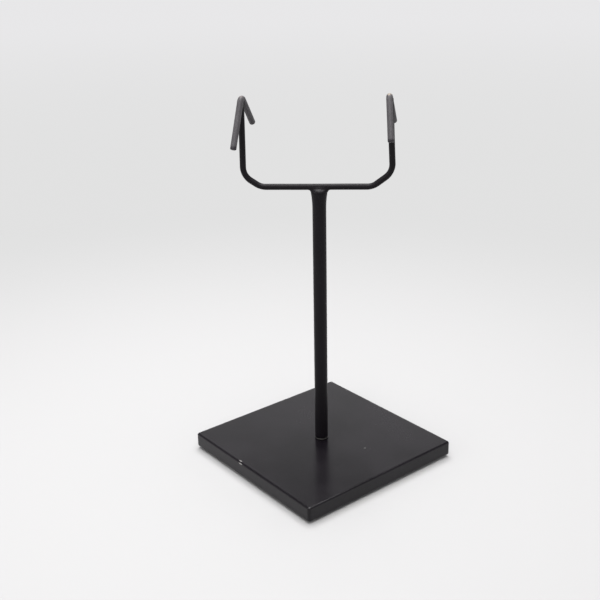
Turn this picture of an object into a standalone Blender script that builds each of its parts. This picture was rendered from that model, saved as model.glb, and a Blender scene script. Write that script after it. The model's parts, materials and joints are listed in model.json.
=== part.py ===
"""Two-hook display stand in black painted steel.

A square plate on four thin pads carries a round post. One countersunk screw comes up
through the plate into the post, with a thin washer between them. On the post's top a
bent-wire yoke is welded on, and each of its arms ends in an inverted-V wire hook
with a matt grey coating.

Frame: metres, +Z up, origin on the ground below the plate's centre, X and Y along the
plate's sides. The post stands on the empty post_axis, whose z is its own axis, a little
out of square to the plate, and everything above the plate turns with it. The yoke and
its hooks are modelled about the crossbar's middle on the empty yoke_level, x along the
crossbar and y across it, because the yoke is welded on level and not square to the post.
"""

from math import cos, pi, radians, sin, sqrt, tan, tau

import bmesh
import bpy
from mathutils import Vector

# ---------------------------------------------------------------- driving dimensions
GAP = 0.0003                # clearance between neighbouring pieces

PLATE_SIDE = 0.1016         # 4 in square
PLATE_THICKNESS = 0.0081    # 5/16 in and its paint
PLATE_CORNER = 0.0015       # radius of the four upright corners
PLATE_EDGE = 0.0010         # rounding of the top and bottom edges

PAD_DIAMETER = 0.0095       # stick-on pads under the plate's corners
PAD_THICKNESS = 0.0011
PAD_INSET = 0.010           # pad's centre in from the plate's sides

POST_DIAMETER = 0.00714     # 9/32 in rod
POST_FOOT_CHAMFER = 0.0003
POST_BORE_DEPTH = 0.011     # blind hole in the post's foot, for the screw
POST_FLARE = 0.0007         # how far the weld toe thickens the post's top
POST_FLARE_LENGTH = 0.0085  # and how far down it fades out

WASHER_RIM = 0.0003         # how far the washer shows beyond the post
WASHER_THICKNESS = 0.0005

SCREW_SHANK_DIAMETER = 0.0035
SCREW_HEAD_DIAMETER = 0.0078
SCREW_HEAD_LAND = 0.0003    # straight rim of the head below its cone
SCREW_HEAD_SINK = 0.0004    # head face above the plate's underside
SCREW_GRIP = 0.009          # length of shank inside the post
SCREW_SOCKET = 0.0025       # hexagon socket, across flats
SCREW_SOCKET_DEPTH = 0.0014

WIRE_DIAMETER = 0.003175    # 1/8 in wire, yoke and hooks
BAR_HEIGHT = 0.1548         # crossbar's centre line above the ground
YOKE_TURN = -43.3           # crossbar's direction from +X, degrees
POST_LEAN = 0.35            # post's axis out of square, towards the crossbar's +x end, degrees
YOKE_BEND = 0.0085          # centre-line radius of the yoke's four bends

WELD_ROOT = 0.00075         # weld metal between the post's top and the crossbar
WELD_RISE = 0.0022          # how high the weld climbs beside the crossbar
WELD_SPREAD = 1.22          # the bead is this much longer along the bar than across it

HOOK_BEND = 0.0020          # centre-line radius at the apex
BEAD_WALL = 0.0004          # weld bead round each arm's top
BEAD_TOP = 0.0048           # bead's upper end below the hook's apex
BEAD_LENGTH = 0.0042

# Each side of the yoke, as bent by hand. side is -1 at -x and +1 at +x. reach is the arm's
# distance from the crossbar's middle where it leaves the corner, which is cut by a slope of
# that run and rise. lean brings the arm's top inward, and height is the hook's apex above
# the crossbar. The legs' angles are from the downward direction, hook_yaw turns the rear
# leg towards +x, hook_lean tips both legs to +x, and hook_shift is how far along x the hook
# sits off the arm's centre line.
SIDES = {
    "left": {
        "side": -1, "reach": 0.0387, "run": 0.0088, "rise": 0.0059, "lean": 0.75, "height": 0.0448,
        "front_leg": 0.0275, "front_angle": 28.4, "rear_leg": 0.0212, "rear_angle": 41.0,
        "hook_yaw": 14.4, "hook_lean": -0.2, "hook_shift": 0.0002,
    },
    "right": {
        "side": 1, "reach": 0.0373, "run": 0.0101, "rise": 0.0075, "lean": 2.5, "height": 0.0453,
        "front_leg": 0.0248, "front_angle": 29.8, "rear_leg": 0.0211, "rear_angle": 39.2,
        "hook_yaw": 5.1, "hook_lean": 5.5, "hook_shift": -0.0004,
    },
}

ROUND_SIDES = 40            # facets round the post, the screw and the welds
WIRE_SIDES = 16             # facets round the wire
BEND_STEP = radians(10)     # one ring of the wire for each such turn

# ---------------------------------------------------------------- derived places
WIRE_RADIUS = WIRE_DIAMETER / 2
POST_RADIUS = POST_DIAMETER / 2
SHANK_RADIUS = SCREW_SHANK_DIAMETER / 2
HEAD_RADIUS = SCREW_HEAD_DIAMETER / 2

PLATE_BOTTOM = PAD_THICKNESS + GAP
PLATE_TOP = PLATE_BOTTOM + PLATE_THICKNESS
WASHER_BOTTOM = PLATE_TOP + GAP
WASHER_TOP = WASHER_BOTTOM + WASHER_THICKNESS
POST_BOTTOM = WASHER_TOP + GAP
WELD_BOTTOM = BAR_HEIGHT - WIRE_RADIUS - GAP - WELD_ROOT
POST_TOP = WELD_BOTTOM - GAP


# ---------------------------------------------------------------- materials
def plain_material(name, color, roughness, metallic):
    """A plain Principled finish in one colour."""
    material = bpy.data.materials.new(name)
    material.use_nodes = True
    shader = material.node_tree.nodes["Principled BSDF"]
    shader.inputs["Base Color"].default_value = (*color, 1)
    shader.inputs["Roughness"].default_value = roughness
    shader.inputs["Metallic"].default_value = metallic
    return material


# ---------------------------------------------------------------- building blocks
def finish_object(name, bm, material, parent, smooth_angle=35):
    """Turn a bmesh into a shaded object under its parent, with faces pointing out."""
    bmesh.ops.recalc_face_normals(bm, faces=bm.faces)
    mesh = bpy.data.meshes.new(name)
    bm.to_mesh(mesh)
    bm.free()
    mesh.shade_smooth()
    mesh.set_sharp_from_angle(angle=radians(smooth_angle))
    mesh.materials.append(material)
    piece = bpy.data.objects.new(name, mesh)
    piece.parent = parent
    bpy.context.scene.collection.objects.link(piece)
    return piece


def turned(profile, sides=ROUND_SIDES):
    """A bmesh turned about Z from (radius, height) points: a ring, or a solid from axis to axis."""
    bm = bmesh.new()
    points = [bm.verts.new((radius, 0, height)) for radius, height in profile]
    edges = [bm.edges.new(pair) for pair in zip(points, points[1:])]
    if profile[0][0] > 0:
        edges.append(bm.edges.new((points[-1], points[0])))
    bmesh.ops.spin(bm, geom=points + edges, cent=(0, 0, 0), axis=(0, 0, 1), angle=tau, steps=sides)
    bmesh.ops.remove_doubles(bm, verts=bm.verts, dist=1e-6)
    bmesh.ops.dissolve_limit(bm, angle_limit=radians(0.1), verts=bm.verts, edges=bm.edges)
    return bm


def bent_path(corners, radius):
    """The polyline through the corners, with an arc of that radius at each inner corner."""
    path = [corners[0]]
    for before, corner, after in zip(corners, corners[1:], corners[2:]):
        incoming = (corner - before).normalized()
        outgoing = (after - corner).normalized()
        turn = incoming.angle(outgoing)
        room = 0.48 * min((corner - before).length, (after - corner).length)
        arc_radius = min(radius, room / tan(turn / 2))
        axis = incoming.cross(outgoing).normalized()
        inward = axis.cross(incoming)
        start = corner - incoming * arc_radius * tan(turn / 2)
        steps = max(2, round(turn / BEND_STEP))
        for step in range(steps + 1):
            angle = turn * step / steps
            along = incoming * arc_radius * sin(angle)
            across = inward * arc_radius * (1 - cos(angle))
            path.append(start + along + across)
    return path + [corners[-1]]


def wire(path, normal, radius, sides=WIRE_SIDES):
    """A round wire along a flat path whose plane has that normal, with flat ends."""
    bm = bmesh.new()
    rings = []
    for index, point in enumerate(path):
        before = path[max(index - 1, 0)]
        after = path[min(index + 1, len(path) - 1)]
        sideways = normal.cross((after - before).normalized())
        ring = [
            bm.verts.new(point + radius * (normal * cos(angle) + sideways * sin(angle)))
            for angle in (tau * side / sides for side in range(sides))
        ]
        rings.append(ring)
    for lower, upper in zip(rings, rings[1:]):
        for side in range(sides):
            follow = (side + 1) % sides
            bm.faces.new((lower[side], lower[follow], upper[follow], upper[side]))
    bm.faces.new(rings[0])
    bm.faces.new(rings[-1])
    return bm


def make_cutter(name, bm, material, parent):
    """An object that only cuts others: drawn as wire and left out of renders."""
    cutter = finish_object(name, bm, material, parent)
    cutter.hide_render = True
    cutter.display_type = "WIRE"
    return cutter


def cut(piece, cutter):
    """Subtract the cutter with an exact Boolean."""
    modifier = piece.modifiers.new("Cut_" + cutter.name, "BOOLEAN")
    modifier.operation = "DIFFERENCE"
    modifier.solver = "EXACT"
    modifier.object = cutter


# ---------------------------------------------------------------- base
def screw_profile(margin=0.0):
    """Outline of the countersunk screw, from its head up, grown by a margin when it cuts."""
    face = PLATE_BOTTOM + SCREW_HEAD_SINK
    cone = face + SCREW_HEAD_LAND + margin
    neck = cone + HEAD_RADIUS - SHANK_RADIUS
    tip = POST_BOTTOM + SCREW_GRIP
    if margin:
        face = PLATE_BOTTOM - PLATE_THICKNESS
        tip = PLATE_TOP + PLATE_THICKNESS
    return [
        (0, face),
        (HEAD_RADIUS + margin, face),
        (HEAD_RADIUS + margin, cone),
        (SHANK_RADIUS + margin, neck),
        (SHANK_RADIUS + margin, tip - SHANK_RADIUS / 3),
        (SHANK_RADIUS * 2 / 3 + margin, tip),
        (0, tip),
    ]


def make_plate(material, parent):
    """The square plate, its edges eased, drilled and countersunk from below at its centre."""
    bm = bmesh.new()
    bmesh.ops.create_cube(bm, size=1)
    bmesh.ops.scale(bm, vec=(PLATE_SIDE, PLATE_SIDE, PLATE_THICKNESS), verts=bm.verts)
    bmesh.ops.translate(bm, vec=(0, 0, PLATE_BOTTOM + PLATE_THICKNESS / 2), verts=bm.verts)
    upright = [edge for edge in bm.edges if abs(edge.verts[0].co.z - edge.verts[1].co.z) > 1e-6]
    bmesh.ops.bevel(bm, geom=upright, offset=PLATE_CORNER, segments=3, profile=0.5, affect="EDGES")
    rims = [edge for edge in bm.edges if abs(edge.verts[0].co.z - edge.verts[1].co.z) < 1e-6]
    bmesh.ops.bevel(bm, geom=rims, offset=PLATE_EDGE, segments=3, profile=0.5, affect="EDGES")
    plate = finish_object("base_plate", bm, material, parent)
    cut(plate, make_cutter("screw_hole", turned(screw_profile(GAP)), material, parent))
    return plate


def make_pads(material, parent):
    """Four thin round pads that the plate stands on, one near each corner."""
    radius = PAD_DIAMETER / 2
    soft = PAD_THICKNESS / 4
    profile = [(0, 0), (radius - soft, 0), (radius, soft), (radius, PAD_THICKNESS), (0, PAD_THICKNESS)]
    centre = PLATE_SIDE / 2 - PAD_INSET
    corners = {"front_left": (-1, -1), "front_right": (1, -1), "back_right": (1, 1), "back_left": (-1, 1)}
    for name, (x, y) in corners.items():
        pad = finish_object("pad_" + name, turned(profile), material, parent)
        pad.location = (x * centre, y * centre, 0)


def make_screw(material, parent):
    """The flat-head screw that holds the post, with a hexagon socket in its head."""
    screw = finish_object("base_screw", turned(screw_profile()), material, parent)
    socket = bmesh.new()
    bmesh.ops.create_cone(
        socket, cap_ends=True, segments=6, radius1=SCREW_SOCKET / sqrt(3),
        radius2=SCREW_SOCKET / sqrt(3), depth=2 * SCREW_SOCKET_DEPTH,
    )
    bmesh.ops.translate(socket, vec=(0, 0, PLATE_BOTTOM + SCREW_HEAD_SINK), verts=socket.verts)
    cut(screw, make_cutter("hexagon_socket", socket, material, parent))
    return screw


def make_washer(material, parent):
    """The thin washer between plate and post, its outer rim rounded."""
    inner = SHANK_RADIUS + GAP
    rim = POST_RADIUS + WASHER_RIM
    soft = WASHER_THICKNESS / 2
    middle = WASHER_BOTTOM + soft
    arc = [radians(angle) for angle in (-60, -20, 20, 60)]
    edge = [(rim - soft + soft * cos(angle), middle + soft * sin(angle)) for angle in arc]
    profile = [(inner, WASHER_BOTTOM), (rim - soft, WASHER_BOTTOM)]
    profile += edge + [(rim - soft, WASHER_TOP), (inner, WASHER_TOP)]
    return finish_object("foot_washer", turned(profile), material, parent)


# ---------------------------------------------------------------- post
def make_post(material, parent):
    """The rod: a blind hole in its foot for the screw, and a top that flares to the weld."""
    bore = SHANK_RADIUS + GAP
    bore_top = POST_BOTTOM + POST_BORE_DEPTH
    flare_start = POST_TOP - POST_FLARE_LENGTH
    steps = 5
    flare = []
    for step in range(steps + 1):
        share = step / steps
        height = flare_start + share * POST_FLARE_LENGTH
        flare.append((POST_RADIUS + POST_FLARE * share ** 2, height))
    profile = [
        (0, bore_top + bore / sqrt(3)),
        (bore, bore_top),
        (bore, POST_BOTTOM),
        (POST_RADIUS - POST_FOOT_CHAMFER, POST_BOTTOM),
        (POST_RADIUS, POST_BOTTOM + POST_FOOT_CHAMFER),
    ]
    profile += flare + [(0, POST_TOP)]
    return finish_object("post", turned(profile), material, parent)


def make_post_weld(material, parent, yoke_level):
    """The weld that seats the crossbar on the post: a rounded mound grooved for the bar."""
    foot = POST_RADIUS + POST_FLARE
    height = GAP + WELD_ROOT + WELD_RISE
    profile = [(0, WELD_BOTTOM), (foot, WELD_BOTTOM)]
    steps = 6
    for step in range(1, steps + 1):
        angle = pi / 2 * step / steps
        profile.append((foot * cos(angle), WELD_BOTTOM + height * sin(angle)))
    profile[-1] = (0, WELD_BOTTOM + height)
    bead = turned(profile)
    bmesh.ops.scale(bead, vec=(WELD_SPREAD, 1, 1), verts=bead.verts)
    weld = finish_object("post_weld", bead, material, parent)
    reach = 2 * foot * WELD_SPREAD
    groove = [Vector((-reach, 0, 0)), Vector((reach, 0, 0))]
    groove_wire = wire(groove, Vector((0, 1, 0)), WIRE_RADIUS + GAP, 2 * WIRE_SIDES)
    cut(weld, make_cutter("bar_groove", groove_wire, material, yoke_level))
    return weld


# ---------------------------------------------------------------- yoke and hooks
def arm_foot(form):
    """Where an arm's centre line leaves the sloping corner."""
    return Vector((form["side"] * form["reach"], 0, form["rise"]))


def hook_apex(form):
    """The hook's apex, on the arm's leaning centre line."""
    foot = arm_foot(form)
    inward = (form["height"] - foot.z) * tan(radians(form["lean"]))
    return Vector((foot.x - form["side"] * inward, 0, form["height"]))


def arm_direction(form):
    """Unit vector up the arm."""
    return (hook_apex(form) - arm_foot(form)).normalized()


def half_yoke(form):
    """The yoke's corners on one side, from the crossbar to the arm's top."""
    foot = arm_foot(form)
    slope_start = Vector((foot.x - form["side"] * form["run"], 0, 0))
    top = hook_apex(form) - arm_direction(form) * WIRE_RADIUS / 2
    return [slope_start, foot, top]


def hook_wire(form, radius):
    """The inverted V in its own frame: apex at the origin, legs in the y-z plane."""
    legs = []
    for leg, toward in (("front", -1), ("rear", 1)):
        angle = radians(form[leg + "_angle"])
        direction = Vector((0, toward * sin(angle), -cos(angle)))
        legs.append(direction * form[leg + "_leg"])
    front, rear = legs
    path = bent_path([front, Vector((0, 0, 0)), rear], HOOK_BEND)
    crown = max(point.z for point in path)
    path = [point - Vector((0, 0, crown)) for point in path]
    return wire(path, Vector((1, 0, 0)), radius)


def place_hook(piece, form):
    """Set a hook, or its cutter, on the arm's top with its own twist and lean."""
    piece.location = hook_apex(form) + Vector((form["hook_shift"], 0, 0))
    piece.rotation_euler = (0, -radians(form["hook_lean"]), -radians(form["hook_yaw"]))


def make_hook(name, form, material, parent):
    """One V hook, and the slightly fatter copy that copes the arm's top and its bead."""
    hook = finish_object(name + "_hook", hook_wire(form, WIRE_RADIUS), material, parent)
    place_hook(hook, form)
    cope = make_cutter(name + "_cope", hook_wire(form, WIRE_RADIUS + GAP), material, parent)
    place_hook(cope, form)
    return cope


def make_bead(name, form, cope, material, parent):
    """The small weld bead round the arm's top, coped to the hook's legs."""
    inner = WIRE_RADIUS + GAP
    outer = inner + BEAD_WALL
    profile = [
        (inner, -BEAD_TOP - BEAD_LENGTH),
        (inner + BEAD_WALL / 2, -BEAD_TOP - BEAD_LENGTH),
        (outer, -BEAD_TOP - BEAD_LENGTH * 0.7),
        (outer, -BEAD_TOP),
        (inner, -BEAD_TOP),
    ]
    bead = finish_object(name + "_hook_weld", turned(profile), material, parent)
    bead.location = hook_apex(form)
    bead.rotation_euler = (0, -form["side"] * radians(form["lean"]), 0)
    cut(bead, cope)
    return bead


def make_yoke(copes, material, parent):
    """The yoke: one wire from arm top to arm top, coped under both hooks."""
    left = half_yoke(SIDES["left"])
    right = half_yoke(SIDES["right"])
    path = bent_path(left[::-1] + right, YOKE_BEND)
    yoke = finish_object("yoke", wire(path, Vector((0, 1, 0)), WIRE_RADIUS), material, parent)
    for cope in copes:
        cut(yoke, cope)
    return yoke


# ---------------------------------------------------------------- assembly
def make_frame(name, parent=None, height=0.0, turn=0.0, lean=0.0):
    """An empty on its parent's axis that pieces hang from, leaning towards its own +x."""
    empty = bpy.data.objects.new(name, None)
    empty.location.z = height
    empty.rotation_euler = (0, radians(lean), radians(turn))
    empty.parent = parent
    bpy.context.scene.collection.objects.link(empty)
    return empty


def main():
    for leftover in list(bpy.context.scene.objects):
        bpy.data.objects.remove(leftover)

    black = plain_material("black_paint", (0.045, 0.044, 0.047), 0.42, 0.0)
    grey = plain_material("grey_coating", (0.11, 0.108, 0.11), 0.55, 0.0)
    dark_weld = plain_material("painted_weld", (0.06, 0.06, 0.063), 0.5, 0.0)
    bright = plain_material("bright_steel", (0.55, 0.54, 0.52), 0.35, 1.0)
    rubber = plain_material("pad_rubber", (0.03, 0.03, 0.03), 0.8, 0.0)

    stand = make_frame("stand")
    post_axis = make_frame("post_axis", stand, turn=YOKE_TURN, lean=POST_LEAN)
    yoke_level = make_frame("yoke_level", post_axis, height=BAR_HEIGHT, lean=-POST_LEAN)

    make_plate(black, stand)
    make_pads(rubber, stand)
    make_screw(bright, post_axis)
    make_washer(bright, post_axis)
    make_post(black, post_axis)
    make_post_weld(dark_weld, post_axis, yoke_level)

    copes = []
    for name, form in SIDES.items():
        cope = make_hook(name, form, grey, yoke_level)
        make_bead(name, form, cope, dark_weld, yoke_level)
        copes.append(cope)
    make_yoke(copes, black, yoke_level)
    bpy.context.view_layer.update()


main()
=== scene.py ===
"""Looks of the two-hook display stand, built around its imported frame.

The plate, post, yoke, hooks, screw, washer and pads are rebuilt at the places and sizes
that the frame gives, with the fine surfaces that the plain solids leave out: round wires
with eased ends, bends that flatten a little, fused welds with ripples, drilled and
countersunk metal. Lengths are metres, and every mesh is in the part's own frame at rest.
"""

import json
from math import acos, atan2, ceil, cos, pi, radians, sin, sqrt, tan, tau

import bmesh
import bpy
import numpy as np
from mathutils import Matrix, Vector, noise


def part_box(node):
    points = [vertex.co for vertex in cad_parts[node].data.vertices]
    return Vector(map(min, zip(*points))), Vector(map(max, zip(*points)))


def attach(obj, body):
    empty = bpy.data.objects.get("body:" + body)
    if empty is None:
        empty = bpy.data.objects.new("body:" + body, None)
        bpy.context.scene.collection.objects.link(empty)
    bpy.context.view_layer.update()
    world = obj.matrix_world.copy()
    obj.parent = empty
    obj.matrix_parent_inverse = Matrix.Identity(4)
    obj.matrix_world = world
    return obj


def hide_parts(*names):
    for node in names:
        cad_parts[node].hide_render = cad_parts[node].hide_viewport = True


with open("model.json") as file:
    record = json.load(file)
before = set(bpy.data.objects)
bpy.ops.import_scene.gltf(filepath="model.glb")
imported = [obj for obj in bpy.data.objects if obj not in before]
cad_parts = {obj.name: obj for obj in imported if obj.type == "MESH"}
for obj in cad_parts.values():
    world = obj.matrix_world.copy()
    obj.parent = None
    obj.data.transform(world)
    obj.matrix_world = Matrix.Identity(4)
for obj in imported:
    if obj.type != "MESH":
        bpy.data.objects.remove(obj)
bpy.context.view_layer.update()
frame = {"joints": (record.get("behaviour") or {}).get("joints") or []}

MM = 0.001
noise.seed_set(1)            # noise_vector is seeded from the clock otherwise

# ---------------------------------------------------------------- sizes, as the solids have them
PLATE_CORNER = 1.5 * MM
PLATE_EDGE = 1.0 * MM
EDGE_TURN = radians(4)
GAP = 0.3 * MM

POST_RADIUS = 3.57 * MM
POST_CHAMFER = 0.3 * MM
POST_FLARE = 0.7 * MM
POST_FLARE_LENGTH = 8.5 * MM
BORE_DEPTH = 11 * MM

SHANK_RADIUS = 1.75 * MM
HEAD_RADIUS = 3.9 * MM
HEAD_LAND = 0.3 * MM
SOCKET_ACROSS = 2.5 * MM
SOCKET_DEPTH = 1.4 * MM

WIRE_RADIUS = 1.5875 * MM
BAR_HEIGHT = 154.8 * MM
YOKE_BEND = 8.5 * MM
HOOK_BEND = 2.0 * MM

# The yoke's two sides and their hooks: mm and degrees, named as in the part's own source.
SIDES = {
    "left": {
        "side": -1, "reach": 38.7, "run": 8.8, "rise": 5.9, "lean": 0.75, "height": 44.8,
        "front_leg": 27.5, "front_angle": 28.4, "rear_leg": 21.2, "rear_angle": 41.0,
        "hook_yaw": 14.4, "hook_lean": -0.2, "hook_shift": 0.2,
    },
    "right": {
        "side": 1, "reach": 37.3, "run": 10.1, "rise": 7.5, "lean": 2.5, "height": 45.3,
        "front_leg": 24.8, "front_angle": 29.8, "rear_leg": 21.1, "rear_angle": 39.2,
        "hook_yaw": 5.1, "hook_lean": 5.5, "hook_shift": -0.4,
    },
}

# ---------------------------------------------------------------- places, from the frame
plate_low, plate_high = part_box("base_plate")
post_low, post_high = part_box("post")
washer_low, washer_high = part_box("foot_washer")
screw_low, screw_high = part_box("base_screw")

swivel = Vector(frame["joints"][0]["axis"]).normalized()
POST_FRAME = Matrix.Rotation(atan2(swivel.y, swivel.x), 4, "Z") @ Matrix.Rotation(acos(swivel.z), 4, "Y")
YOKE_FRAME = Matrix.Translation(swivel * BAR_HEIGHT) @ Matrix.Rotation(atan2(swivel.y, swivel.x), 4, "Z")
POST_IN_YOKE = np.array(YOKE_FRAME.to_3x3().transposed() @ swivel)

WIRE_SIDES = 36
ROUND_SIDES = 96
WELD_GRID = 0.26 * MM
POST_LIFT = 0.01 * MM        # keeps the rod's foot just off the plain solid's face
RING_INSET = 0.1 * MM        # how far the visible ring's rim lies inside the plain solid's

# ---------------------------------------------------------------- colours of the object
PLATE_BLACK = (0.0030, 0.0022, 0.0034)
ROD_BLACK = (0.0030, 0.0022, 0.0033)
DUST = (0.09, 0.088, 0.084)
BARE_STEEL = (0.33, 0.32, 0.31)

# ---------------------------------------------------------------- stage, light and camera values
HORIZON = (0.806, 0.802, 0.812)
FLOOR_MIDDLE = (0.757, 0.757, 0.757)
FLOOR_NEAR = (0.358, 0.355, 0.357)
FLOOR_CENTRE = (-0.04, 0.03, 0)
FLOOR_FADE = (0.07, 0.50)
BACKDROP_FADE = (0.70, 2.60)
FLOOR_RADIUS = 30

# The sky's colour from straight down (0) to overhead (1).
SKY_STOPS = (
    (0.0, HORIZON), (0.34, HORIZON), (0.42, (0.74, 0.74, 0.74)), (0.47, (0.62, 0.62, 0.62)),
    (0.53, (0.36, 0.36, 0.36)), (0.60, (0.12, 0.12, 0.12)), (0.80, (0.12, 0.12, 0.12)),
    (0.90, (5.0, 5.0, 5.0)), (1.0, (6.6, 6.6, 6.6)),
)

# Each soft box: name, place, side in metres and power in watts. All point at LIGHT_TARGET.
LIGHT_TARGET = (0, 0, 0.10)
SOFT_BOXES = (
    ("left_softbox", (-1.15, 0.30, 0.62), 0.8, 3.8),
    ("front_softbox", (-0.60, -0.75, 1.25), 1.1, 7.0),
    ("back_softbox", (0.42, 0.53, 1.55), 0.7, 15.0),
)

CAMERA_PLACE = (-0.30568, -0.37021, 0.28192)
CAMERA_LENS = 58.05          # mm, on a sensor 36 mm wide
CAMERA_SENSOR = 36
CAMERA_HEADING = -38.328     # degrees about Z from looking along +Y
CAMERA_DOWN = 21.485         # degrees below level
CAMERA_ROLL = -1.419


# ---------------------------------------------------------------- materials
class Finish:
    """One material's node tree, with short calls for the few nodes that the finishes use."""

    def __init__(self, name):
        self.material = bpy.data.materials.new(name)
        self.material.use_nodes = True
        self.tree = self.material.node_tree
        self.shader = self.tree.nodes["Principled BSDF"]
        self.place = self.tree.nodes.new("ShaderNodeTexCoord").outputs["Object"]

    def put(self, socket, value):
        """Link an output, or set a constant."""
        if isinstance(value, bpy.types.NodeSocket):
            self.tree.links.new(value, socket)
        elif isinstance(value, (tuple, list)) and len(value) == 3 and len(socket.default_value) == 4:
            socket.default_value = (*value, 1)
        else:
            socket.default_value = value

    def node(self, kind, values, **settings):
        """A node with its settings and its inputs, which are given by position or by name."""
        made = self.tree.nodes.new(kind)
        for setting, value in settings.items():
            setattr(made, setting, value)
        for key, value in values.items():
            self.put(made.inputs[key], value)
        return made

    def math(self, operation, first, second=0.0):
        """One sum on two values."""
        return self.node("ShaderNodeMath", {0: first, 1: second}, operation=operation).outputs[0]

    def grain(self, size, detail=2.0, rough=0.5, place=None):
        """Noise from 0 to 1 whose grains are about that size."""
        values = {"Vector": place or self.place, "Scale": 0.5 / size, "Detail": detail, "Roughness": rough}
        return self.node("ShaderNodeTexNoise", values).outputs["Fac"]

    def ramp(self, value, low, high, to_low=0.0, to_high=1.0):
        """The value eased from one range into another, held at both ends."""
        values = {"Value": value, "From Min": low, "From Max": high, "To Min": to_low, "To Max": to_high}
        return self.node("ShaderNodeMapRange", values, interpolation_type="SMOOTHSTEP").outputs["Result"]

    def blend(self, factor, first, second):
        """One colour fading into another."""
        made = self.node("ShaderNodeMix", {0: factor}, data_type="RGBA")
        self.put(made.inputs[6], first)
        self.put(made.inputs[7], second)
        return made.outputs[2]

    def spot(self, centre, reach, ragged=0.35, grain=0.5 * MM):
        """1 inside a ragged ellipsoid round the centre, 0 outside it."""
        away = self.node("ShaderNodeVectorMath", {0: self.place, 1: centre}, operation="SUBTRACT").outputs[0]
        share = self.node("ShaderNodeVectorMath", {0: away, 1: reach}, operation="DIVIDE").outputs[0]
        length = self.node("ShaderNodeVectorMath", {0: share}, operation="LENGTH").outputs["Value"]
        torn = self.math("ADD", length, self.ramp(self.grain(grain), 0.3, 0.7, -ragged, ragged))
        return self.ramp(torn, 0.8, 1.1, 1.0, 0.0)

    def bump(self, height, distance, under=None):
        """Normals for a height from 0 to 1 that stands for that distance."""
        values = {"Height": height, "Distance": distance, "Strength": 1.0}
        if under is not None:
            values["Normal"] = under
        return self.node("ShaderNodeBump", values).outputs["Normal"]

    def set(self, **sockets):
        """Set the shader's sockets, with spaces written as underscores."""
        for name, value in sockets.items():
            self.put(self.shader.inputs[name.replace("_", " ")], value)


def paint(name, base, gloss, specular, peel=1.0, chips=(), specks=()):
    """Satin black enamel: faint orange peel, fine powder grain, rubbed and dusty in places.

    chips are (centre, reach, colour) of bare metal, and specks are the same for dust on top.
    """
    finish = Finish(name)
    cloud = finish.grain(14 * MM, 3.0)
    fine = finish.grain(0.32 * MM, 2.0)
    colour = finish.blend(finish.ramp(cloud, 0.3, 0.7), base, [1.5 * part for part in base])
    dust = finish.ramp(finish.grain(0.22 * MM, 1.0), 0.74, 0.80)
    colour = finish.blend(finish.math("MULTIPLY", dust, 0.35), colour, DUST)
    rough = finish.math("ADD", finish.ramp(cloud, 0.25, 0.75, gloss - 0.03, gloss + 0.03),
                        finish.ramp(fine, 0.3, 0.7, -0.02, 0.02))
    metal = 0.0
    for centre, reach, tint in chips:
        bare = finish.spot(centre, reach)
        colour = finish.blend(bare, colour, tint)
        rough = finish.math("ADD", rough, finish.math("MULTIPLY", bare, -0.08))
        metal = finish.math("MAXIMUM", metal, finish.math("MULTIPLY", bare, 0.55))
    for centre, reach, tint in specks:
        colour = finish.blend(finish.spot(centre, reach), colour, tint)
    normal = finish.bump(finish.grain(1.6 * MM, 2.0), 0.012 * MM * peel)
    normal = finish.bump(fine, 0.006 * MM * peel, normal)
    finish.set(Base_Color=colour, Roughness=rough, Specular_IOR_Level=specular, Normal=normal)
    if chips:
        finish.set(Metallic=metal)
    return finish.material


def coating(name, apexes, shaded_tips):
    """Matt dark grey coating of the hooks: softly mottled, rubbed through on top of each apex.

    apexes are (centre, reach, tint) of the worn places, and tips are the front legs' ends,
    where the coating is painted near black: painted shade on ends that face down to the floor.
    """
    finish = Finish(name)
    cloud = finish.grain(3.5 * MM, 3.0)
    fine = finish.grain(0.25 * MM, 2.0)
    colour = finish.blend(finish.ramp(cloud, 0.3, 0.7), (0.047, 0.043, 0.047), (0.062, 0.0575, 0.062))
    rough = finish.ramp(cloud, 0.3, 0.7, 0.50, 0.60)
    metal = 0.0
    # Painted shade: each front leg's end is darkened near black.
    for centre in shaded_tips:
        black = finish.spot(centre, (2.1 * MM,) * 3, 0.15, 1.2 * MM)
        colour = finish.blend(black, colour, (0.012, 0.009, 0.013))
    for centre, reach, tint in apexes:
        bare = finish.spot(centre, reach, 0.3, 0.8 * MM)
        colour = finish.blend(bare, colour, tint)
        metal = finish.math("MAXIMUM", metal, finish.math("MULTIPLY", bare, 0.4))
    normal = finish.bump(finish.grain(1.1 * MM, 2.0), 0.012 * MM)
    normal = finish.bump(fine, 0.006 * MM, normal)
    finish.set(Base_Color=colour, Roughness=rough, Metallic=metal, Normal=normal)
    finish.set(Specular_IOR_Level=0.4)
    return finish.material


def steel(name, dark, light, rough=(0.28, 0.42)):
    """Plated steel with fine turned marks and a few duller clouds."""
    finish = Finish(name)
    cloud = finish.grain(1.5 * MM, 3.0)
    rings = finish.node("ShaderNodeTexWave", {"Vector": finish.place, "Scale": 1200.0, "Distortion": 2.0},
                        wave_type="RINGS", rings_direction="Z").outputs["Fac"]
    colour = finish.blend(cloud, dark, light)
    finish.set(Base_Color=colour, Roughness=finish.ramp(cloud, 0.3, 0.7, *rough), Metallic=1.0)
    finish.set(Normal=finish.bump(rings, 0.004 * MM))
    return finish.material


def rubber(name):
    """Black pad rubber with a fine matt grain."""
    finish = Finish(name)
    fine = finish.grain(0.2 * MM, 3.0)
    colour = finish.blend(finish.grain(2 * MM), (0.012, 0.012, 0.012), (0.024, 0.024, 0.023))
    finish.set(Base_Color=colour, Roughness=finish.ramp(fine, 0.3, 0.7, 0.75, 0.9))
    finish.set(Normal=finish.bump(fine, 0.02 * MM), Specular_IOR_Level=0.3)
    return finish.material


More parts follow.
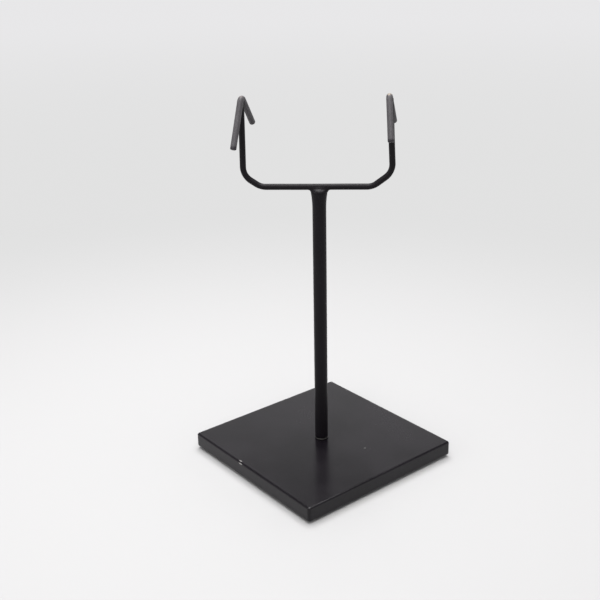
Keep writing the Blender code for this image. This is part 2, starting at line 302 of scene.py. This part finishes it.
# ---------------------------------------------------------------- mesh building
def make_piece(name, bm, material, body, replaced, place=None, sharp=40):
    """A finished piece from a bmesh: outward faces, smooth shading, its body, node and slot."""
    if place is not None:
        bmesh.ops.transform(bm, matrix=place, verts=bm.verts)
    bmesh.ops.recalc_face_normals(bm, faces=bm.faces)
    mesh = bpy.data.meshes.new(name)
    bm.to_mesh(mesh)
    bm.free()
    mesh.shade_smooth()
    mesh.set_sharp_from_angle(angle=radians(sharp))
    mesh.materials.append(material)
    piece = bpy.data.objects.new(name, mesh)
    bpy.context.scene.collection.objects.link(piece)
    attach(piece, body)
    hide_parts(replaced)
    return piece


def lathe(profile, sides=ROUND_SIDES):
    """Turn (radius, height) points about Z: from axis to axis, or a closed ring."""
    bm = bmesh.new()
    rings = []
    for radius, height in profile:
        if radius == 0:
            rings.append([bm.verts.new((0, 0, height))] * sides)
            continue
        angles = [tau * side / sides for side in range(sides)]
        rings.append([bm.verts.new((radius * cos(turn), radius * sin(turn), height)) for turn in angles])
    pairs = list(zip(rings, rings[1:]))
    if profile[0][0] > 0:
        pairs.append((rings[-1], rings[0]))
    for lower, upper in pairs:
        for side in range(sides):
            follow = (side + 1) % sides
            corners = (lower[side], lower[follow], upper[follow], upper[side])
            bm.faces.new(list(dict.fromkeys(corners)))
    return bm


def arc_points(centre, radius, start, end, steps):
    """Points of an arc in a lathe's profile, angles in degrees from outward to upward."""
    angles = [radians(start + (end - start) * step / steps) for step in range(steps + 1)]
    return [(centre[0] + radius * cos(angle), centre[1] + radius * sin(angle)) for angle in angles]


def bent_path(corners, radius, turn_step=3.0, run_step=1.2 * MM):
    """Points along the corners with an arc at each inner one; each point has its share of bend."""
    path = [(corners[0], 0.0)]
    for before, corner, after in zip(corners, corners[1:], corners[2:]):
        incoming = (corner - before).normalized()
        outgoing = (after - corner).normalized()
        turn = incoming.angle(outgoing)
        room = 0.48 * min((corner - before).length, (after - corner).length)
        bend = min(radius, room / tan(turn / 2))
        inward = incoming.cross(outgoing).normalized().cross(incoming)
        start = corner - incoming * bend * tan(turn / 2)
        steps = max(4, round(turn / radians(turn_step)))
        for step in range(steps + 1):
            angle = turn * step / steps
            point = start + incoming * bend * sin(angle) + inward * bend * (1 - cos(angle))
            path.append((point, sin(pi * step / steps)))
    path.append((corners[-1], 0.0))
    dense = [path[0]]
    for (start, bend_start), (end, bend_end) in zip(path, path[1:]):
        runs = max(1, ceil((end - start).length / run_step))
        for run in range(1, runs + 1):
            share = run / runs
            dense.append((start.lerp(end, share), bend_start + (bend_end - bend_start) * share))
    return dense


def wire(path, normal, seed, wander=0.05 * MM, ease=0.35 * MM, sides=WIRE_SIDES):
    """A round wire on the path, in the plane with that normal.

    It wanders a little, as hand-bent wire does, flattens in its bends, and its cut ends
    are eased over.
    """
    points = [point for point, bend in path]
    rings = []
    for index, (point, bend) in enumerate(path):
        ahead = points[min(index + 1, len(points) - 1)] - points[max(index - 1, 0)]
        ahead.normalize()
        sideways = normal.cross(ahead)
        from_end = min(index, len(path) - 1 - index) / 8
        drift = noise.noise_vector(point * 45 + Vector((seed, 0, 0))) * wander * min(1, from_end)
        thick = WIRE_RADIUS * (1 + 0.006 * noise.noise(point * 160 + Vector((0, seed, 0))))
        rings.append((point + drift, ahead, sideways, thick, thick * (1 - 0.035 * bend)))
    caps = []
    for at, outward in ((0, -1), (-1, 1)):
        centre, ahead, sideways, thick, flat = rings[at]
        centre = centre - ahead * outward * ease
        rings[at] = (centre, ahead, sideways, thick, flat)
        cap = []
        for angle in (radians(turn) for turn in (20, 40, 60, 80)):
            slip = ahead * outward * ease * sin(angle)
            trim = ease * (1 - cos(angle))
            cap.append((centre + slip, ahead, sideways, thick - trim, flat - trim))
        caps.append(cap)
    bm = bmesh.new()
    made = []
    for centre, ahead, sideways, thick, flat in caps[0][::-1] + rings + caps[1]:
        turns = [tau * side / sides for side in range(sides)]
        made.append([bm.verts.new(centre + normal * thick * cos(turn) + sideways * flat * sin(turn))
                     for turn in turns])
    for lower, upper in zip(made, made[1:]):
        for side in range(sides):
            follow = (side + 1) % sides
            bm.faces.new((lower[side], lower[follow], upper[follow], upper[side]))
    bm.faces.new(made[0])
    bm.faces.new(made[-1])
    return bm


def skin(field, low, high, step):
    """The closed surface where a field of points is zero, by surface nets, then pulled onto it."""
    counts = [ceil((top - bottom) / step) + 1 for bottom, top in zip(low, high)]
    axes = [bottom + step * np.arange(count) for bottom, count in zip(low, counts)]
    grid = np.stack(np.meshgrid(*axes, indexing="ij"), -1)
    values = field(grid.reshape(-1, 3)).reshape(counts)
    inside = values < 0
    cells = [count - 1 for count in counts]
    total = np.zeros((*cells, 3))
    number = np.zeros(cells, int)
    crossings = []
    for axis in range(3):
        near = [slice(None)] * 3
        far = [slice(None)] * 3
        near[axis] = slice(0, -1)
        far[axis] = slice(1, None)
        changed = inside[tuple(near)] != inside[tuple(far)]
        for edge in np.argwhere(changed):
            end = edge.copy()
            end[axis] += 1
            first = values[tuple(edge)]
            second = values[tuple(end)]
            point = grid[tuple(edge)].copy()
            point[axis] += step * first / (first - second)
            one, two = [other for other in range(3) if other != axis]
            around = []
            for shift_one, shift_two in ((0, 0), (-1, 0), (-1, -1), (0, -1)):
                cell = edge.copy()
                cell[one] += shift_one
                cell[two] += shift_two
                around.append(tuple(cell))
                total[tuple(cell)] += point
                number[tuple(cell)] += 1
            flip = (first < second) != (axis == 1)
            crossings.append(around if flip else around[::-1])
    active = np.argwhere(number > 0)
    index = {tuple(cell): place for place, cell in enumerate(active)}
    points = total[number > 0] / number[number > 0][:, None]
    nudge = 0.02 * step
    for _ in range(4):
        value = field(points)
        slope = np.stack([(field(points + nudge * unit) - value) / nudge for unit in np.eye(3)], -1)
        steep = np.maximum((slope ** 2).sum(-1), 0.25)
        move = -(value / steep)[:, None] * slope
        points = points + np.clip(move, -0.4 * step, 0.4 * step)
    bm = bmesh.new()
    corners = [bm.verts.new(point) for point in points]
    for around in crossings:
        bm.faces.new([corners[index[cell]] for cell in around])
    return bm


# ---------------------------------------------------------------- distance fields for the welds
def length(vectors):
    """The length of each vector."""
    return np.sqrt((vectors ** 2).sum(-1))


def to_line(points, start, direction):
    """Distance to a line, and how far along it each point lies."""
    away = points - start
    along = away @ direction
    return length(away - along[:, None] * direction), along


def to_path(points, path):
    """Distance to the nearest point of a polyline."""
    nearest = np.full(len(points), np.inf)
    for start, end in zip(path, path[1:]):
        run = end - start
        share = np.clip((points - start) @ run / (run @ run), 0, 1)
        nearest = np.minimum(nearest, length(points - start - share[:, None] * run))
    return nearest


def soft_min(first, second, reach):
    """The smaller of two distances, with a fillet where they are alike."""
    share = np.clip(0.5 + 0.5 * (second - first) / reach, 0, 1)
    return second + (first - second) * share - reach * share * (1 - share)


def fade(value, low, high):
    """0 below low, 1 above high, eased between."""
    share = np.clip((value - low) / (high - low), 0, 1)
    return share * share * (3 - 2 * share)


def ripples(points, size, seed):
    """Uneven weld ripples from -1 to 1, about that size apart."""
    phase = seed * np.array([1.7, 3.1, 4.3])
    waves = np.sin(points * tau / size + phase)
    skew = np.sin(points[:, [1, 2, 0]] * tau / (1.63 * size) + phase * 1.9)
    return (waves.prod(-1) + skew.sum(-1) / 3) / 2


# ---------------------------------------------------------------- base
def screw_outline(margin=0.0, through=0.0):
    """The countersunk screw's outline; grown by a margin, and through the plate, as its hole."""
    face = screw_low.z - through
    cone = screw_low.z + HEAD_LAND + margin
    neck = cone + HEAD_RADIUS - SHANK_RADIUS
    tip = screw_high.z + through
    ease = 0.12 * MM
    if through:
        head = [(0, face), (HEAD_RADIUS + margin, face)]
    else:
        head = [(0, face)] + arc_points((HEAD_RADIUS - ease, face + ease), ease, -90, 0, 5)
    head.append((HEAD_RADIUS + margin, cone))
    return head + [
        (SHANK_RADIUS + margin, neck),
        (SHANK_RADIUS + margin, tip - SHANK_RADIUS / 3),
        (SHANK_RADIUS * 2 / 3 + margin, tip),
        (0, tip),
    ]


def cut(piece, bm):
    """Take a closed shape out of a piece, and apply the cut."""
    mesh = bpy.data.meshes.new("cutter")
    bmesh.ops.recalc_face_normals(bm, faces=bm.faces)
    bm.to_mesh(mesh)
    bm.free()
    cutter = bpy.data.objects.new("cutter", mesh)
    bpy.context.scene.collection.objects.link(cutter)
    modifier = piece.modifiers.new("cut", "BOOLEAN")
    modifier.operation = "DIFFERENCE"
    modifier.solver = "EXACT"
    modifier.object = cutter
    bpy.context.view_layer.update()
    result = bpy.data.meshes.new_from_object(piece.evaluated_get(bpy.context.evaluated_depsgraph_get()))
    piece.modifiers.remove(modifier)
    piece.data = result
    bpy.data.objects.remove(cutter)


def make_plate(material, shaded_edge_material):
    """The plate with round edges, its flats edged by a fine loop so that they shade flat.

    Its edges and sides take a shaded copy of its paint, with a lower specular level: painted shade for the
    dark line along each edge and for the sides.
    """
    bm = bmesh.new()
    bmesh.ops.create_cube(bm, size=1)
    bmesh.ops.scale(bm, vec=plate_high - plate_low, verts=bm.verts)
    bmesh.ops.translate(bm, vec=(plate_high + plate_low) / 2, verts=bm.verts)
    upright = [edge for edge in bm.edges if abs(edge.verts[0].co.z - edge.verts[1].co.z) > GAP]
    bmesh.ops.bevel(bm, geom=upright, offset=PLATE_CORNER, segments=8, profile=0.5, affect="EDGES")
    rims = [edge for edge in bm.edges if abs(edge.verts[0].co.z - edge.verts[1].co.z) < GAP]
    bmesh.ops.bevel(bm, geom=rims, offset=PLATE_EDGE, segments=8, profile=0.5, affect="EDGES")
    flats = [face for face in bm.faces if face.calc_area() > (20 * MM) ** 2 or len(face.verts) > 8]
    bmesh.ops.inset_individual(bm, faces=flats, thickness=0.15 * MM, use_even_offset=True)
    plate = make_piece("plate_body", bm, material, "base", "base_plate", sharp=50)
    cut(plate, lathe(screw_outline(GAP, plate_high.z)))
    plate.data.set_sharp_from_angle(angle=radians(40))
    # The second slot is the shaded copy of the paint: painted shade on the edges and sides.
    plate.data.materials.append(shaded_edge_material)
    for face in plate.data.polygons:
        if face.normal.z < cos(EDGE_TURN):
            face.material_index = 1


def make_pads(material):
    """Four thin round pads, their sides bulging under the weight."""
    for corner in ("front_left", "front_right", "back_right", "back_left"):
        low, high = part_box("pad_" + corner)
        radius = (high.x - low.x) / 2
        bulge = (high.z - low.z) / 2
        rim = arc_points((radius - bulge / 2, low.z + bulge), bulge, -80, 80, 12)
        rim = [(radius - bulge + (point[0] - radius + bulge / 2), point[1]) for point in rim]
        profile = [(0, low.z), (radius * 0.7, low.z)] + rim + [(radius * 0.7, high.z), (0, high.z)]
        place = Matrix.Translation(((low.x + high.x) / 2, (low.y + high.y) / 2, 0))
        make_piece("pad_disc_" + corner, lathe(profile, 64), material, "base", "pad_" + corner,
                   place, sharp=50)


def make_screw(material):
    """The countersunk screw with its hexagon socket."""
    screw = make_piece("screw_body", lathe(screw_outline()), material, "post", "base_screw",
                       POST_FRAME, sharp=30)
    socket = bmesh.new()
    bmesh.ops.create_cone(socket, cap_ends=True, segments=6, radius1=SOCKET_ACROSS / sqrt(3),
                          radius2=SOCKET_ACROSS / sqrt(3), depth=2 * SOCKET_DEPTH)
    bmesh.ops.translate(socket, vec=(0, 0, screw_low.z), verts=socket.verts)
    bmesh.ops.transform(socket, matrix=POST_FRAME, verts=socket.verts)
    cut(screw, socket)
    screw.data.set_sharp_from_angle(angle=radians(30))


def make_washer(material):
    """The thin washer, its outer rim round."""
    soft = (washer_high.z - washer_low.z) / 2
    middle = washer_low.z + soft
    rim = (washer_high.x - washer_low.x) / 2 - RING_INSET
    inner = SHANK_RADIUS + GAP
    profile = [(inner, washer_low.z)] + arc_points((rim - soft, middle), soft, -80, 80, 10)
    profile.append((inner, washer_high.z))
    make_piece("foot_ring", lathe(profile), material, "post", "foot_washer",
               POST_FRAME, sharp=50)


# ---------------------------------------------------------------- post
def make_post(material):
    """The rod with its blind bore, an eased foot and a top that swells under the weld."""
    foot = post_low.z + POST_LIFT
    top = post_high.z - GAP / 10
    bore = SHANK_RADIUS + GAP
    profile = [(0, foot + BORE_DEPTH + bore / sqrt(3)), (bore, foot + BORE_DEPTH), (bore, foot)]
    profile += arc_points((POST_RADIUS - POST_CHAMFER, foot + POST_CHAMFER), POST_CHAMFER, -90, 0, 5)
    steps = 60
    for step in range(1, steps + 1):
        height = foot + POST_CHAMFER + (top - foot - POST_CHAMFER) * step / steps
        swell = max(0, 1 - (top - height) / POST_FLARE_LENGTH) ** 2 * POST_FLARE
        uneven = 0.012 * MM * noise.noise(Vector((0.3, 7.1, height * 120)))
        profile.append((POST_RADIUS + swell + uneven, height))
    profile.append((POST_RADIUS, top + GAP / 20))
    profile.append((0, top + GAP / 20))
    make_piece("post_rod", lathe(profile), material, "post", "post", POST_FRAME)


def post_weld_field(points):
    """Distance to the weld's skin over the post's top and the crossbar, in the yoke's frame."""
    along = np.abs(points[:, 0])
    down = -points[:, 2]
    bar = length(points[:, 1:]) - WIRE_RADIUS
    radial, height = to_line(points, np.zeros(3), POST_IN_YOKE)
    post_top = -WIRE_RADIUS + 0.1 * MM
    swell = np.clip(1 - (post_top - height) / POST_FLARE_LENGTH, 0, 1) ** 2 * POST_FLARE
    rounding = 1.3 * MM
    corner = np.stack([radial - POST_RADIUS - swell, height - post_top], -1) + rounding
    post = length(np.maximum(corner, 0)) + np.minimum(corner.max(-1), 0) - rounding
    blob_reach = np.array([4.3, 2.3, 2.0]) * MM
    blob_place = points - np.array([0.2, 0.3, -1.6]) * MM
    scaled = length(blob_place / blob_reach)
    blob = scaled * (scaled - 1) / np.maximum(length(blob_place / blob_reach ** 2), 1e-6)
    bead = length((points - np.array([-0.4, -2.5, -1.75]) * MM) / np.array([1.8, 0.9, 0.7])) - 1.0 * MM
    joined = soft_min(soft_min(bar, post, 1.9 * MM), blob, 0.9 * MM)
    joined = soft_min(joined, bead * 0.8, 0.5 * MM)
    rough = 0.05 * MM * ripples(points, 2.3 * MM, 1.0) + 0.025 * MM * ripples(points, 1.1 * MM, 2.0)
    ends = np.maximum(fade(along, 5.2 * MM, 7.4 * MM), fade(down, 6.0 * MM, 9.0 * MM))
    sink = 0.22 * MM * np.maximum(ends, fade(-down, -0.2 * MM, 1.0 * MM))
    skinned = joined - 0.06 * MM - rough + sink
    return np.max([skinned, along - 7.8 * MM, down - 9.6 * MM], 0)


def make_post_weld(material):
    """The weld that fuses crossbar and post."""
    low = np.array([-8.4, -5.8, -10.2]) * MM
    high = np.array([8.4, 5.8, 2.4]) * MM
    make_piece("post_weld_skin", skin(post_weld_field, low, high, WELD_GRID), material, "post",
               "post_weld", YOKE_FRAME, sharp=60)


# ---------------------------------------------------------------- yoke and hooks
def arm_foot(form):
    """The outer corner of the yoke's centre line, where the arm starts to rise."""
    return Vector((form["side"] * form["reach"], 0, form["rise"])) * MM


def hook_apex(form):
    """Where the arm's centre line reaches the height of the hook's crown."""
    foot = arm_foot(form)
    inward = (form["height"] * MM - foot.z) * tan(radians(form["lean"]))
    return Vector((foot.x - form["side"] * inward, 0, form["height"] * MM))


def arm_direction(form):
    """The way the arm rises, leaning inward."""
    return (hook_apex(form) - arm_foot(form)).normalized()


def half_yoke(form):
    """Corners of the yoke's centre line on one side, crossbar to arm's top."""
    foot = arm_foot(form)
    slope_start = Vector((foot.x - form["side"] * form["run"] * MM, 0, 0))
    return [slope_start, foot, hook_apex(form) - arm_direction(form) * WIRE_RADIUS / 2]


def hook_frame(form):
    """The hook's own frame in the yoke's: apex at the origin, legs in its y-z plane."""
    lean = Matrix.Rotation(-radians(form["hook_lean"]), 4, "Y")
    yaw = Matrix.Rotation(-radians(form["hook_yaw"]), 4, "Z")
    place = hook_apex(form) + Vector((form["hook_shift"] * MM, 0, 0))
    return Matrix.Translation(place) @ yaw @ lean


def hook_path(form):
    """The inverted V's centre line, its crown at the origin."""
    legs = []
    for leg, toward in (("front", -1), ("rear", 1)):
        angle = radians(form[leg + "_angle"])
        legs.append(Vector((0, toward * sin(angle), -cos(angle))) * form[leg + "_leg"] * MM)
    path = bent_path([legs[0], Vector((0, 0, 0)), legs[1]], HOOK_BEND)
    crown = max(point.z for point, bend in path)
    return [(point - Vector((0, 0, crown)), bend) for point, bend in path]


def make_yoke(material):
    """The yoke's wire, from arm top to arm top."""
    corners = half_yoke(SIDES["left"])[::-1] + half_yoke(SIDES["right"])
    bm = wire(bent_path(corners, YOKE_BEND), Vector((0, 1, 0)), 3.0)
    make_piece("yoke_wire", bm, material, "post", "yoke", YOKE_FRAME)


def make_hook(name, form, material, seed):
    """One V hook's wire; the weld that fuses it to its arm is made by make_hook_weld."""
    place = YOKE_FRAME @ hook_frame(form)
    bm = wire(hook_path(form), Vector((1, 0, 0)), seed, ease=0.55 * MM)
    make_piece(name + "_hook_wire", bm, material, "post", name + "_hook", place)


def make_hook_weld(name, form, material, seed):
    """The weld in the V's crotch, round the arm's top."""
    legs = [np.array(hook_frame(form) @ point) for point, bend in hook_path(form)][::3]
    apex = np.array(hook_apex(form))
    down_arm = -np.array(arm_direction(form))

    def field(points):
        radial, along = to_line(points, apex, down_arm)
        arm = radial - WIRE_RADIUS
        vee = to_path(points, legs) - WIRE_RADIUS
        joined = soft_min(arm, vee, 1.3 * MM)
        rough = 0.035 * MM * ripples(points, 1.7 * MM, seed) + 0.02 * MM * ripples(points, 0.9 * MM, seed + 3)
        sink = 0.2 * MM * np.maximum(fade(along, 7.0 * MM, 9.5 * MM), fade(-along, -3.4 * MM, -1.8 * MM))
        away = fade(radial, 2.2 * MM, 3.6 * MM)
        skinned = joined + 0.02 * MM - rough + sink + 0.25 * MM * away
        return np.max([skinned, along - 10.0 * MM, 1.2 * MM - along, radial - 4.6 * MM], 0)

    low = apex + np.array([-5.5, -7.0, -10.8]) * MM
    high = apex + np.array([5.5, 7.0, 0.5]) * MM
    make_piece(name + "_hook_weld_skin", skin(field, low, high, WELD_GRID), material, "post",
               name + "_hook_weld", YOKE_FRAME, sharp=60)


# ---------------------------------------------------------------- stage, light and camera
def gradient_material(name):
    """The pale floor: it takes light round the object's foot, and gives its own further out."""
    material = bpy.data.materials.new(name)
    material.use_nodes = True
    tree = material.node_tree
    shader = tree.nodes["Principled BSDF"]
    place = tree.nodes.new("ShaderNodeTexCoord")
    away = tree.nodes.new("ShaderNodeVectorMath")
    away.operation = "DISTANCE"
    away.inputs[1].default_value = FLOOR_CENTRE
    shares = []
    for near, far in (FLOOR_FADE, BACKDROP_FADE):
        share = tree.nodes.new("ShaderNodeMapRange")
        share.interpolation_type = "SMOOTHSTEP"
        share.inputs["From Min"].default_value = near
        share.inputs["From Max"].default_value = far
        tree.links.new(away.outputs["Value"], share.inputs["Value"])
        shares.append(share.outputs["Result"])
    tint = tree.nodes.new("ShaderNodeMix")
    tint.data_type = "RGBA"
    tint.inputs[6].default_value = (*FLOOR_MIDDLE, 1)
    tint.inputs[7].default_value = (*HORIZON, 1)
    glow = tree.nodes.new("ShaderNodeEmission")
    mix = tree.nodes.new("ShaderNodeMixShader")
    shader.inputs["Base Color"].default_value = (*FLOOR_NEAR, 1)
    shader.inputs["Roughness"].default_value = 0.9
    shader.inputs["Specular IOR Level"].default_value = 0.0
    tree.links.new(place.outputs["Object"], away.inputs[0])
    tree.links.new(shares[0], mix.inputs["Fac"])
    tree.links.new(shares[1], tint.inputs[0])
    tree.links.new(tint.outputs[2], glow.inputs["Color"])
    tree.links.new(shader.outputs["BSDF"], mix.inputs[1])
    tree.links.new(glow.outputs["Emission"], mix.inputs[2])
    tree.links.new(mix.outputs["Shader"], tree.nodes["Material Output"].inputs["Surface"])
    return material


def make_floor():
    """A wide pale floor whose far part matches the sky at the horizon."""
    bm = bmesh.new()
    bmesh.ops.create_circle(bm, cap_ends=True, segments=128, radius=FLOOR_RADIUS)
    mesh = bpy.data.meshes.new("floor")
    bm.to_mesh(mesh)
    bm.free()
    mesh.materials.append(gradient_material("floor_card"))
    floor = bpy.data.objects.new("floor", mesh)
    bpy.context.scene.collection.objects.link(floor)


def make_sky():
    """A dome of soft light: pale up to the horizon, dark above it and bright overhead."""
    world = bpy.data.worlds.new("soft_dome")
    world.use_nodes = True
    tree = world.node_tree
    background = tree.nodes["Background"]
    place = tree.nodes.new("ShaderNodeTexCoord")
    split = tree.nodes.new("ShaderNodeSeparateXYZ")
    ramp = tree.nodes.new("ShaderNodeValToRGB")
    ramp.color_ramp.interpolation = "EASE"
    while len(ramp.color_ramp.elements) < len(SKY_STOPS):
        ramp.color_ramp.elements.new(0.5)
    for element, (height, colour) in zip(ramp.color_ramp.elements, SKY_STOPS):
        element.position = height
        element.color = (*colour, 1)
    tree.links.new(place.outputs["Generated"], split.inputs[0])
    tree.links.new(split.outputs["Z"], ramp.inputs["Fac"])
    tree.links.new(ramp.outputs["Color"], background.inputs["Color"])
    bpy.context.scene.world = world


def make_light(name, location, size, power):
    """A square soft box that points at LIGHT_TARGET."""
    data = bpy.data.lights.new(name, "AREA")
    data.shape = "SQUARE"
    data.size = size
    data.energy = power
    light = bpy.data.objects.new(name, data)
    light.location = location
    light.rotation_euler = (Vector(LIGHT_TARGET) - Vector(location)).to_track_quat("-Z", "Y").to_euler()
    bpy.context.scene.collection.objects.link(light)


def make_camera():
    """The camera at the photograph's angle, above and in front of the plate's near corner."""
    data = bpy.data.cameras.new("camera")
    data.lens = CAMERA_LENS
    data.sensor_width = CAMERA_SENSOR
    camera = bpy.data.objects.new("camera", data)
    heading = Matrix.Rotation(radians(CAMERA_HEADING), 4, "Z")
    pitch = Matrix.Rotation(radians(90 - CAMERA_DOWN), 4, "X")
    roll = Matrix.Rotation(radians(CAMERA_ROLL), 4, "Z")
    camera.matrix_world = Matrix.Translation(CAMERA_PLACE) @ heading @ pitch @ roll
    bpy.context.scene.collection.objects.link(camera)
    bpy.context.scene.camera = camera


# ---------------------------------------------------------------- the object
# Marks are (centre, reach, colour): two chips on the plate's -x edge and a speck on its top.
plate_chips = [
    ((plate_low.x + 1.2 * MM, 8.9 * MM, plate_high.z), (0.35 * MM, 1.3 * MM, 0.4 * MM), BARE_STEEL),
    ((plate_low.x, 8.0 * MM, plate_high.z - 0.75 * MM), (0.5 * MM, 1.3 * MM, 0.26 * MM), BARE_STEEL),
]
plate_specks = [((10.3 * MM, -25.0 * MM, plate_high.z), (0.7 * MM, 0.6 * MM, 0.5 * MM), (0.04, 0.04, 0.04))]
apex_wear = []
for side_name, worn, tint in (("right", (1.9, 1.6, 0.9), (0.21, 0.175, 0.145)),
                              ("left", (1.5, 1.5, 0.7), (0.105, 0.088, 0.088))):
    top = YOKE_FRAME @ (hook_apex(SIDES[side_name]) + Vector((0, 0, WIRE_RADIUS)))
    apex_wear.append((tuple(top), tuple(reach * MM for reach in worn), tint))

plate_paint = paint("plate_paint", PLATE_BLACK, 0.23, 0.49, 1.4, plate_chips, plate_specks)
# The plate's edges and sides: the plate's paint with a lower specular level, a shaded copy that paints their
# shade.
shaded_edge_paint = paint("shaded_edge_paint", PLATE_BLACK, 0.22, 0.26, 2.4, plate_chips)
# The rods and welds take the plate's black paint, rougher, and with a much lower specular level: a shaded
# copy, painted shade for their darker surroundings.
rod_paint = paint("rod_paint", ROD_BLACK, 0.46, 0.15, 2.4)
weld_paint = paint("weld_paint", ROD_BLACK, 0.46, 0.15, 1.6)
# The front legs' ends, where the hook coating is darkened as painted shade.
shaded_leg_ends = [tuple(YOKE_FRAME @ hook_frame(form) @ hook_path(form)[0][0]) for form in SIDES.values()]
hook_coat = coating("hook_coat", apex_wear, shaded_leg_ends)
bright = steel("bright_steel", (0.50, 0.49, 0.47), (0.66, 0.65, 0.62))
ring_steel = steel("ring_steel", (0.030, 0.029, 0.028), (0.062, 0.060, 0.057), (0.34, 0.46))
pad_rubber = rubber("pad_rubber")

make_plate(plate_paint, shaded_edge_paint)
make_pads(pad_rubber)
make_screw(bright)
make_washer(ring_steel)
make_post(rod_paint)
make_post_weld(weld_paint)
make_yoke(rod_paint)
for seed, (side_name, form) in enumerate(SIDES.items()):
    make_hook(side_name, form, hook_coat, 5.0 + seed)
    make_hook_weld(side_name, form, weld_paint, 1.0 + seed)

make_floor()
make_sky()
for soft_box in SOFT_BOXES:
    make_light(*soft_box)
make_camera()
bpy.context.scene.view_settings.view_transform = "Standard"

bpy.context.view_layer.update()
